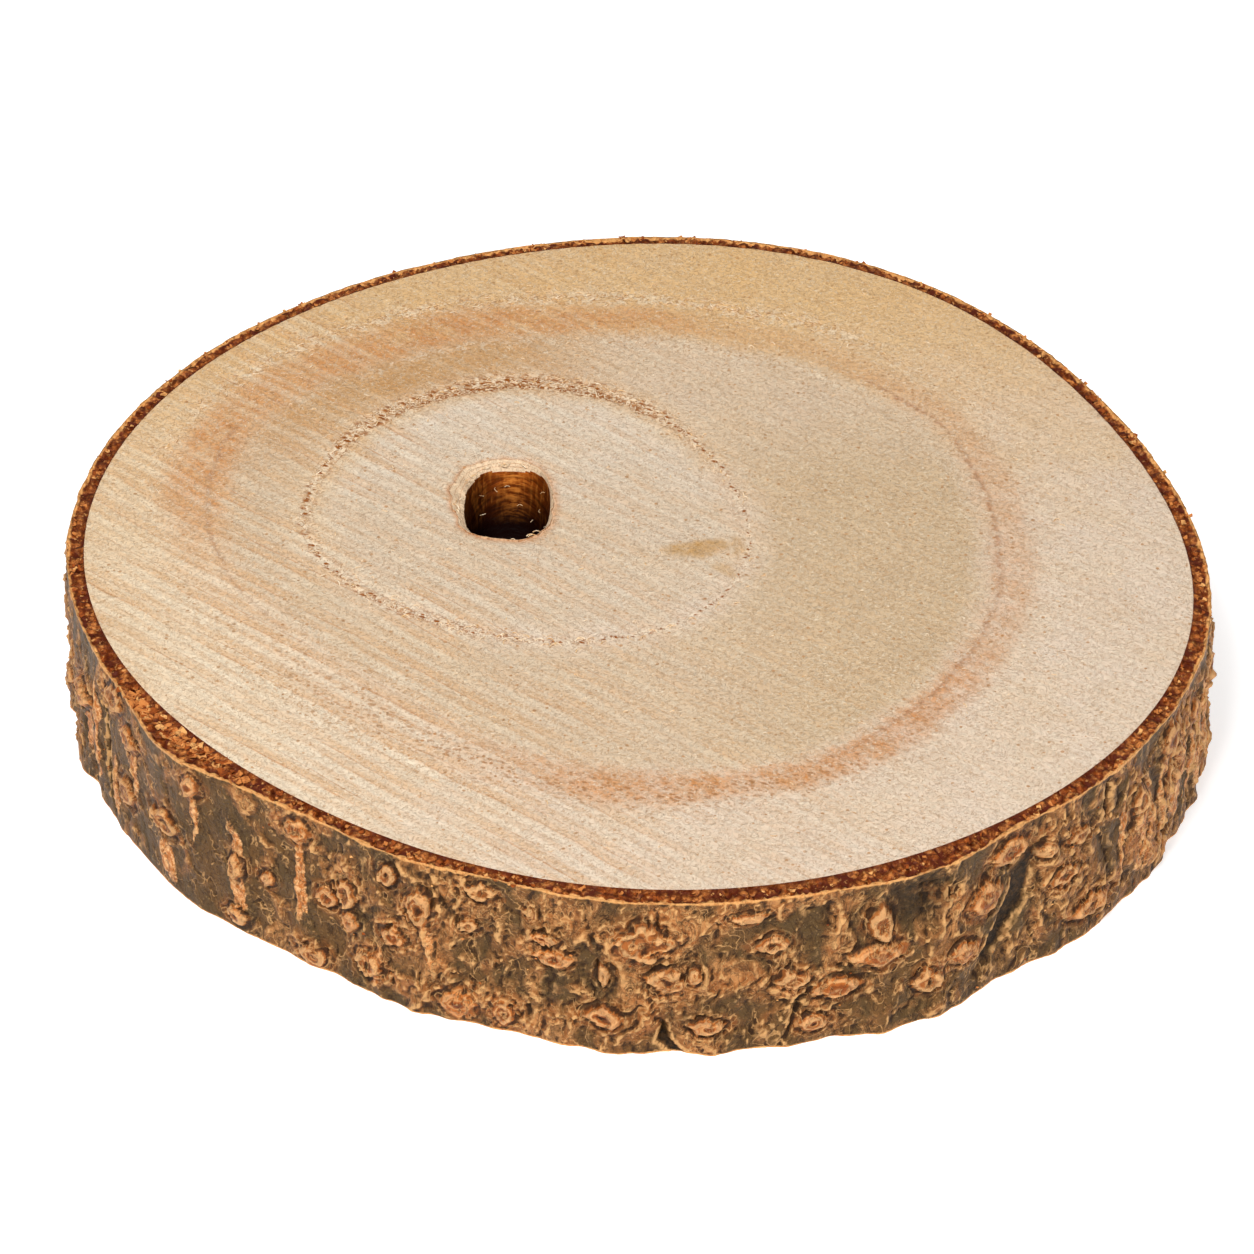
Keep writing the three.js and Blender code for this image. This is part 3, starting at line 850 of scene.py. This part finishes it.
    # the inner growth ring: torn, with brown dashes on its inner edge and pale flecks outside
    innerTorn = attribute("innerTorn")
    ringWidth = product(innerTorn, 1.45)
    inBand = bell(in1, 1.0, ringWidth)
    colour = mixed(product(inBand, innerTorn, 0.25), colour, "sawLine")
    brownLine = product(bell(in1, 0.1, largest(product(ringWidth, 0.3), 0.22)),
                        ramp(fuzz["Field"], 0.44, 0.52), innerTorn)
    dashes = largest(longDots, product(commas, 0.6))
    paleFlecks = product(inBand, ramp(fuzz["Field"], 0.5, 0.42))
    colour = mixed(product(paleFlecks, 0.6), colour, "paleFibre")
    colour = mixed(largest(brownLine, product(dashes, inBand, 1.2)), colour, "ringBrown")
    colour = mixed(product(attribute("stain"), ramp(ragged, 0.3, 0.6, 0.5, 0.85)), colour, "stain")

    # torn wood round the mouth of the bore, with a ledge on its far side
    rim = attribute("rim")
    atMouth = ramp(rim, 0.93, 1.0)
    tornDown = total(attribute("tornDown"), swing(ragged, 0.16))
    terraces = ramp(calc("SINE", product(tornDown, 21.0)), 0.2, 1.0, 0.0, 0.6)
    rimLines = product(largest(bell(tornDown, 0.02, 0.07), terraces),
                       ramp(fuzz["Field"], 0.38, 0.55, 0.4, 1.0), ramp(tornDown, 0.95, 0.8))
    colour = mixed(ramp(rim, 0.35, 0.8, 0.0, 0.45), colour, "redBand")
    colour = mixed(ramp(rim, 0.8, 0.98, 0.0, 0.9), colour, "rim")
    colour = mixed(product(rimLines, atMouth, 0.85), colour, "rimLine")

    height = product(total(fuzz["Light"], product(fuzz["Dark"], -1.0)), 0.05)
    dress(shader, colour, height)
    return material


def boreMaterial():
    # dark and glossy, with arcs left by the tool; painted shade darkens it towards the bottom and a painted
    # highlight lights the top middle of its far wall
    material, shader, place = newMaterial("boreSurface", woodColours, 0.4, 0.15)
    x, _, z = xyz(place)
    depth = ramp(z, sliceThickness - 7.5, sliceThickness - 0.8)
    aside = minus(x, hole["x"] + 0.6)
    below = minus(z, sliceThickness - 13)
    reach = calc("SQRT", total(product(aside, aside, 1.6), product(below, below)))
    arcs = noise(vector(reach, product(x, 0.25), 0.0), 2.2, 3.0, 0.65)
    paintedLight = product(calc("POWER", depth, 1.5), total(bell(aside, 0.0, 2.6), 0.26))
    colour = mixed(paintedLight, "boreLow", "boreTop")
    # pale grain streaks, fading downward with the painted shade
    grain = noise(stretched(place, 2.6, 2.6, 0.35), 1.0, 2.0, 0.6)
    colour = mixed(product(ramp(grain, 0.5, 0.66), depth, 0.4), colour, "boreGlint")
    # a painted highlight along the tool arcs in the middle of the far wall
    glint = product(ramp(arcs, 0.45, 0.62), bell(aside, 0.0, 1.3), depth)
    colour = mixed(glint, colour, "boreGlint")
    colour = mixed(ramp(arcs, 0.52, 0.4, 0, 0.5), colour, "boreLow")
    dress(shader, colour, product(arcs, 0.15))
    return material


barkColours = painted({
    "skin": "684824", "skinDark": "50371A", "olive": "574325", "worn": "A86E3A", "speck": "C69C66",
    "creaseShade": "2A1606", "gold": "DAA66A", "cork": "9C5622", "corkPale": "C08048", "corkDark": "562A0C",
    "lip": "C07030", "paleLipAndHighlight": "F2BE84", "heart": "924716", "broken": "1E150A", "cutDark": "561D06",
    "cutMiddle": "9E4F1A", "cutFleck": "CE8040", "rim": "EEAE68",
})


def barkMaterial():
    material, shader, place = newMaterial("barkSurface", barkColours, 0.5, 0.14)
    _, _, z = xyz(place)
    grit = noise(place, 1.8, 3.0, 0.7)
    blotches = noise(stretched(place, 1, 1, 0.5), 0.35, 3.0, 0.6)
    cavity = total(attribute("cavity"), swing(grit, 0.06))
    colour = mixed(ramp(blotches, 0.35, 0.65), "skinDark", "skin")
    colour = mixed(ramp(blotches, 0.52, 0.42, 0, 0.5), colour, "olive")
    relief = total(attribute("relief"), swing(grit, 0.4))
    # raised parts turn paler tan: partly wear, partly painted highlight
    colour = mixed(ramp(relief, 0.1, 1.2, 0.0, 0.5), colour, "worn")
    colour = mixed(ramp(grit, 0.6, 0.74, 0, 0.4), colour, "speck")

    # corky patches that fade in, and pale seams up the bark
    cork = total(attribute("cork"), swing(grit, 0.1))
    corkColour = mixed(ramp(grit, 0.36, 0.6), "cork", "corkPale")
    colour = mixed(ramp(cork, 0.43, 0.62, 0, 0.8), colour, corkColour)
    seams = total(attribute("seams"), swing(grit, 0.35), swing(blotches, 0.3))
    # a thin line of painted shade round each seam
    colour = mixed(product(bell(seams, 0.36, 0.05), 0.5), colour, "creaseShade")
    seamColour = mixed(ramp(grit, 0.45, 0.65), "lip", "paleLipAndHighlight")
    colour = mixed(ramp(seams, 0.42, 0.65, 0, 0.9), colour, seamColour)

    # breathing pores: orange lips round a darker heart, in a crevice that painted shade darkens further on
    pore = total(attribute("pore"), swing(grit, 0.12))
    poreColour = mixed(ramp(pore, 0.3, 0.7), "heart", "lip")
    poreColour = mixed(ramp(grit, 0.45, 0.3, 0, 0.7), poreColour, "corkDark")
    poreColour = mixed(ramp(pore, 0.3, 0.14, 0, 0.8), poreColour, "corkDark")
    onPore = product(ramp(pore, 1.25, 0.95), ramp(attribute("poreShade"), 0.45, 0.55, 0.6, 1))
    colour = mixed(onPore, colour, poreColour)
    colour = mixed(product(ramp(pore, 2.3, 1.1, 0, 0.7), ramp(blotches, 0.38, 0.56)), colour, "cork")

    # thin folds flow round the pores
    layers = attribute("layers")
    flow = calc("SINE",
                total(product(calc("MINIMUM", pore, 2.6), 11.0), product(layers, 3.5), product(grit, 2.0)))
    nearPore = total(ramp(pore, 2.4, 0.9), ramp(cork, 0.42, 0.58, 0.0, 0.6))
    colour = mixed(product(ramp(flow, -0.3, -1.0), nearPore, 0.45), colour, "corkDark")
    colour = mixed(product(ramp(flow, 0.55, 0.95), nearPore, 0.4), colour, "gold")

    # fine folds: a bright thread, partly a pale peeled edge and partly painted highlight, with a painted
    # shadow beside it
    folds = noise(stretched(place, 1, 1, 0.6), 0.75, 3.0, 0.55, 1.3)
    fold = ramp(folds, 0.485, 0.5)
    corky = largest(ramp(cork, 0.42, 0.56, 0.15, 1.0), ramp(pore, 2.0, 1.0))
    colour = mixed(product(fold, ramp(folds, 0.57, 0.505, 0, 0.55)), colour, "creaseShade")
    thread = product(ramp(folds, 0.465, 0.485), ramp(folds, 0.5, 0.49), corky)
    colour = mixed(product(thread, 0.65), colour, "gold")

    # crests are partly worn golden and partly painted highlight, paler on the pores; creases get painted
    # shade
    crest = ramp(cavity, 0.06, 0.17)
    crestWearAndHighlight = mixed(onPore, "gold", "paleLipAndHighlight")
    colour = mixed(product(crest, ramp(onPore, 0, 1, 0.8, 0.42)), colour, crestWearAndHighlight)
    colour = mixed(ramp(cavity, -0.03, -0.13, 0, 0.85), colour, "creaseShade")
    step = calc("FRACT", total(layers, swing(grit, 0.1)))
    edges = product(ramp(step, 0.14, 0.2), ramp(step, 0.3, 0.22), ramp(blotches, 0.46, 0.56))
    colour = mixed(product(edges, 0.6), colour, "gold")
    # broken-away bark: its own darker colour, deepened towards near black with painted shade in the recess
    hollow = mixed(ramp(grit, 0.45, 0.62, 0, 0.6), "broken", "skinDark")
    colour = mixed(ramp(attribute("broken"), 0.3, 0.8, 0, 0.92), colour, hollow)

    # thin golden rims along both cuts, the lower one partly painted light bounced up from the floor, then the
    # cut band itself
    fromTop = minus(sliceThickness, z)
    uneven = product(minus(blotches, 0.2), 0.9)
    atRims = largest(ramp(minus(fromTop, uneven), 0.08, -0.08),
                     ramp(minus(z, product(uneven, 0.5)), 0.08, -0.06))
    gold = mixed(ramp(grit, 0.32, 0.52), "cutFleck", "rim")
    colour = mixed(product(atRims, 0.8), colour, gold)
    inward = attribute("inward")
    onCut = ramp(inward, 0.02, 0.1)
    cells = put("ShaderNodeTexVoronoi", {"Vector": place, "Scale": 1.05})
    chance, _, _ = xyz(cells.outputs["Color"])
    crumbs = ramp(cells.outputs["Distance"], 0.75, 0.3)
    cut = mixed(crumbs, "cutDark", mixed(ramp(chance, 0.25, 0.95), "cutMiddle", "cutFleck"))
    cut = mixed(ramp(grit, 0.56, 0.42, 0.0, 0.8), cut, "cutDark")
    cut = mixed(ramp(grit, 0.6, 0.7, 0.0, 0.8), cut, "rim")
    corkWidth = total(product(blotches, 0.8), -0.12)
    corkLine = ramp(minus(inward, corkWidth), 0.1, -0.06)
    cut = mixed(product(corkLine, 0.95), cut, gold)
    cut = mixed(ramp(attribute("outward"), 0.16, 0.04, 0, 0.5), cut, "cutDark")
    colour = mixed(onCut, colour, cut)

    height = total(product(grit, 0.2), product(onCut, crumbs, 0.35), product(fold, minus(1.0, onCut), -0.12))
    dress(shader, colour, height)
    return material


# Loose pieces: torn wood fibres, and flakes and crumbs of bark

tornFibres = {
    "onInnerRing": 260, "onOuterRing": 240, "onFace": 420, "roundHole": 30, "downHole": 10,
    "length": (0.35, 0.95), "faceReach": 55, "clearOfHole": (6.2, 8.4), "seed": 21,
}
barkFlakes = {
    "onCut": 420, "onBroadCut": 70, "onSkin": 330,
    "cutBand": (0.25, 1.7), "broadCutAt": (216, 5), "broadCutBand": (0.6, 2.3), "beyondWood": 2.0,
    "size": (0.35, 1.3), "seed": 43,
}


def scatterTree(name, makeShape):
    tree, given, out = newTree(name, "GeometryNodeTree", {
        "Geometry": "Geometry",
        "Material": "Material",
    }, {"Geometry": "Geometry"})
    instances = put("GeometryNodeInstanceOnPoints", {
        "Points": given["Geometry"], "Instance": makeShape(),
        "Rotation": named("turn", "FLOAT_VECTOR"), "Scale": named("size", "FLOAT_VECTOR")})
    plug(realized(instances.outputs[0], given["Material"]), out["Geometry"])
    return tree


def sliverShape():
    # a bent fibre, thick in the middle and pointed at both ends, one unit long
    line = put("GeometryNodeCurveQuadraticBezier", {
        "Resolution": 5, "Start": (-0.5, 0, -0.05), "Middle": (0.0, 0.35, 0.34), "End": (0.5, -0.05, 0.0)})
    along = put("GeometryNodeSplineParameter").outputs["Factor"]
    taper = total(calc("SINE", product(along, math.pi)), 0.12)
    thick = put("GeometryNodeSetCurveRadius", {"Curve": line.outputs[0], "Radius": taper}).outputs[0]
    profile = put("GeometryNodeCurvePrimitiveCircle", {"Resolution": 4, "Radius": 0.07}).outputs[0]
    sweep = put("GeometryNodeCurveToMesh", {"Curve": thick, "Profile Curve": profile, "Fill Caps": True})
    return sweep.outputs[0]


def flakeShape():
    # a thin chip, bent and uneven, one unit long
    chip = put("GeometryNodeMeshCube",
               {"Size": (1.0, 0.7, 0.16), "Vertices X": 4, "Vertices Y": 3, "Vertices Z": 2})
    place = put("GeometryNodeInputPosition").outputs[0]
    x, y, _ = xyz(place)
    bend = total(product(x, x, 0.6), product(y, y, -0.5), product(x, y, 0.5))
    uneven = bentBy(place, 2.2, 0.2)
    bent = put("GeometryNodeSetPosition",
               {"Geometry": chip.outputs["Mesh"], "Position": uneven, "Offset": vector(0.0, 0.0, bend)})
    return bent.outputs[0]


def shapeRadius(shape, degrees):
    return shape["radius"] + sum(push * math.cos(math.radians(count * degrees - turn))
                                 for count, push, turn in shape["waves"])


def onRing(shape, degrees, beyond=0.0):
    reach = shapeRadius(shape, degrees) + beyond
    angle = math.radians(degrees)
    return shape["middle"][0] + reach * math.cos(angle), shape["middle"][1] + reach * math.sin(angle)


def fibrePoints():
    draw = random.Random(tornFibres["seed"])
    uniform = draw.uniform
    places, turns, sizes = [], [], []

    def add(x, y, length, lift=0.02, direction=None):
        heading = uniform(0, 2 * math.pi) if direction is None else direction + draw.gauss(0, 0.5)
        places.append((x * mm, y * mm, (sliceThickness - 0.05 + lift) * mm))
        turns.append((uniform(-0.5, 0.5), uniform(-0.25, 0.25), heading))
        thick = uniform(0.7, 1.4) * length * 0.8
        sizes.append((length * mm, thick * mm, min(thick, 0.9) * mm))

    short, long = tornFibres["length"]
    clearX, clearY = tornFibres["clearOfHole"]
    for _ in range(tornFibres["onInnerRing"]):
        at = draw.choice((draw.gauss(95, 38), uniform(0, 360), draw.gauss(255, 25)))
        x, y = onRing(innerRing, at, draw.gauss(1.0, 0.7))
        add(x, y, uniform(short, long), direction=math.radians(at + 90))
    for _ in range(tornFibres["onOuterRing"]):
        at = draw.gauss(105, 32)
        x, y = onRing(outerRing, at, draw.gauss(4.4, 0.8))
        add(x, y, uniform(short, long), direction=math.radians(at + 90))
    while len(places) < sum(tornFibres[name] for name in ("onInnerRing", "onOuterRing", "onFace")):
        x, y = uniform(-56, 56), uniform(-56, 56)
        clear = math.hypot((x - hole["x"]) / clearX, (y - hole["y"]) / clearY) > 1
        if clear and math.hypot(x, y) < tornFibres["faceReach"]:
            add(x, y, uniform(0.4, 0.8), -0.02)
    for _ in range(tornFibres["roundHole"]):
        at = uniform(0, 2 * math.pi)
        x = hole["x"] + (hole["halfWidth"] + uniform(0.2, 0.9)) * math.cos(at)
        y = hole["y"] + (hole["mouthHalfLength"] + uniform(0.2, 0.9)) * math.sin(at)
        add(x, y, uniform(0.5, 1.1), -0.3, at + math.pi / 2)
    for _ in range(tornFibres["downHole"]):
        at = math.radians(uniform(20, 160))
        x = hole["x"] + (hole["halfWidth"] - 0.05) * math.cos(at)
        y = hole["y"] + (hole["mouthHalfLength"] - 0.5) * math.sin(at)
        add(x, y, uniform(0.35, 0.7), -uniform(1.5, 6.5))
    return pointCloud("fibrePoints", places, vectors={"turn": turns, "size": sizes})


def flakePoints():
    draw = random.Random(barkFlakes["seed"])
    uniform = draw.uniform
    places, turns, sizes, shades = [], [], [], []

    def add(at, beyond, z, length, turn):
        x, y = onRing(trunk, at, beyond)
        places.append((x * mm, y * mm, z * mm))
        turns.append(turn)
        sizes.append(tuple(length * uniform(0.7, 1.2) * mm for _ in range(3)))
        shades.append(draw.random())

    small, big = barkFlakes["size"]
    for _ in range(barkFlakes["onCut"]):
        at = uniform(0, 360)
        turn = (uniform(-0.3, 0.3), uniform(-0.3, 0.3), uniform(0, 6.28))
        add(at, uniform(*barkFlakes["cutBand"]), sliceThickness - 0.15, uniform(small, big * 0.55), turn)
    for _ in range(barkFlakes["onBroadCut"]):
        at = draw.gauss(*barkFlakes["broadCutAt"])
        turn = (uniform(-0.2, 0.2), uniform(-0.2, 0.2), uniform(0, 6.28))
        add(at, uniform(*barkFlakes["broadCutBand"]), sliceThickness - 0.14, uniform(big * 0.55, big), turn)
    # tiny flakes on the skin: bark crumbs that also stand in for small glints of light
    for _ in range(barkFlakes["onSkin"]):
        at = uniform(0, 360)
        turn = (math.pi / 2 + uniform(-0.3, 0.3), uniform(-0.4, 0.4), math.radians(at + 90))
        add(at, barkFlakes["beyondWood"], uniform(0.8, 18), uniform(0.5, 0.9) * small, turn)
    return pointCloud("flakePoints", places, {"shade": shades}, {"turn": turns, "size": sizes})


def fibreMaterial():
    material, shader, place = newMaterial("tornFibreSurface", woodColours, 0.75)
    streak = noise(place, 2.0, 3.0)
    colour = mixed(ramp(streak, 0.35, 0.65), "warm", "paleFibre")
    rusty = ramp(noise(shifted(place, 4, 4, 4), 0.9, 2.0), 0.52, 0.6, 0, 0.6)
    dress(shader, mixed(rusty, colour, "pore"), product(streak, 0.03))
    return material


def flakeMaterial():
    material, shader, place = newMaterial("barkFlakeSurface", barkColours, 0.8, 0.2)
    chance = attribute("shade")
    grit = noise(place, 2.5, 3.0, 0.6)
    colour = mixed(ramp(chance, 0.35, 0.4), "cutMiddle", "cutFleck")
    colour = mixed(ramp(chance, 0.8, 0.82), colour, "rim")
    colour = mixed(ramp(grit, 0.45, 0.65, 0, 0.7), colour, "cutDark")
    dress(shader, colour, product(grit, 0.15))
    return material


# Build the pieces

barkRing = grown("barkRing", barkTree(), {"Material": barkMaterial()}, porePoints())
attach(barkRing, "root")
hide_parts("bark")

woodRound = grown("woodRound", woodTree(), {"Material": woodMaterial(), "Bore Material": boreMaterial()},
                  pointCloud("woodSeed", [(0, 0, 0)]))
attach(woodRound, "root")
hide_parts("sawn_wood")

fibres = grown("tornFibres", scatterTree("scatterFibres", sliverShape), {"Material": fibreMaterial()},
               fibrePoints())
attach(fibres, "root")

flakes = grown("barkFlakes", scatterTree("scatterFlakes", flakeShape), {"Material": flakeMaterial()},
               flakePoints())
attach(flakes, "root")
print("pieces built")


# Table top, light and camera

studio = {
    "worldStrength": 0.3,
    "lamps": [  # name, azimuth, elevation, distance (mm), size (mm), watts
        ("key", 248, 54, 800, 220, 5.0),
        ("side", 310, 35, 800, 500, 1.6),
        ("back", 90, 60, 900, 500, 0.8),
    ],
    "floorGlow": 0.5, "floorReach": 3.0,  # the reach in metres
}


def buildFloor():
    mesh = bpy.data.meshes.new("tableTop")
    reach = studio["floorReach"]
    mesh.from_pydata([(-reach, -reach, 0), (reach, -reach, 0), (reach, reach, 0), (-reach, reach, 0)], [],
                     [(0, 1, 2, 3)])
    floor = bpy.data.objects.new("tableTop", mesh)
    bpy.context.scene.collection.objects.link(floor)
    material = bpy.data.materials.new("whiteTable")
    material.use_nodes = True
    shader = material.node_tree.nodes["Principled BSDF"]
    shader.inputs["Base Color"].default_value = (0.85, 0.85, 0.85, 1)
    shader.inputs["Roughness"].default_value = 0.9
    shader.inputs["Emission Color"].default_value = (1, 1, 1, 1)
    shader.inputs["Emission Strength"].default_value = studio["floorGlow"]
    mesh.materials.append(material)


def aim(thing, place, target):
    thing.location = place
    thing.rotation_euler = (target - place).to_track_quat("-Z", "Y").to_euler()


def around(azimuth, elevation, distance, target):
    turn, rise = math.radians(azimuth), math.radians(elevation)
    direction = Vector((math.cos(turn) * math.cos(rise), math.sin(turn) * math.cos(rise), math.sin(rise)))
    return target + direction * distance * mm


def buildLights():
    world = bpy.data.worlds.new("softRoom")
    world.use_nodes = True
    world.node_tree.nodes["Background"].inputs["Color"].default_value = (1, 1, 1, 1)
    world.node_tree.nodes["Background"].inputs["Strength"].default_value = studio["worldStrength"]
    bpy.context.scene.world = world
    middle = Vector((0, 0, 0.01))
    for name, azimuth, elevation, distance, size, watts in studio["lamps"]:
        light = bpy.data.lights.new(name, "AREA")
        light.energy = watts
        light.size = size * mm
        lamp = bpy.data.objects.new(name, light)
        aim(lamp, around(azimuth, elevation, distance, middle), middle)
        bpy.context.scene.collection.objects.link(lamp)


def buildCamera():
    lens = bpy.data.cameras.new("photoCamera")
    lens.sensor_width = photoView["sensor"]
    lens.lens = photoView["focalPixels"] / photoView["framePixels"] * photoView["sensor"]
    lens.clip_start = 0.01
    camera = bpy.data.objects.new("photoCamera", lens)
    target = Vector(photoView["target"]) * mm
    aim(camera, around(270, photoView["elevation"], photoView["distance"], target), target)
    bpy.context.scene.collection.objects.link(camera)
    bpy.context.scene.camera = camera


buildFloor()
buildLights()
buildCamera()
bpy.context.scene.view_settings.view_transform = "Standard"
print("stage, light and camera set")
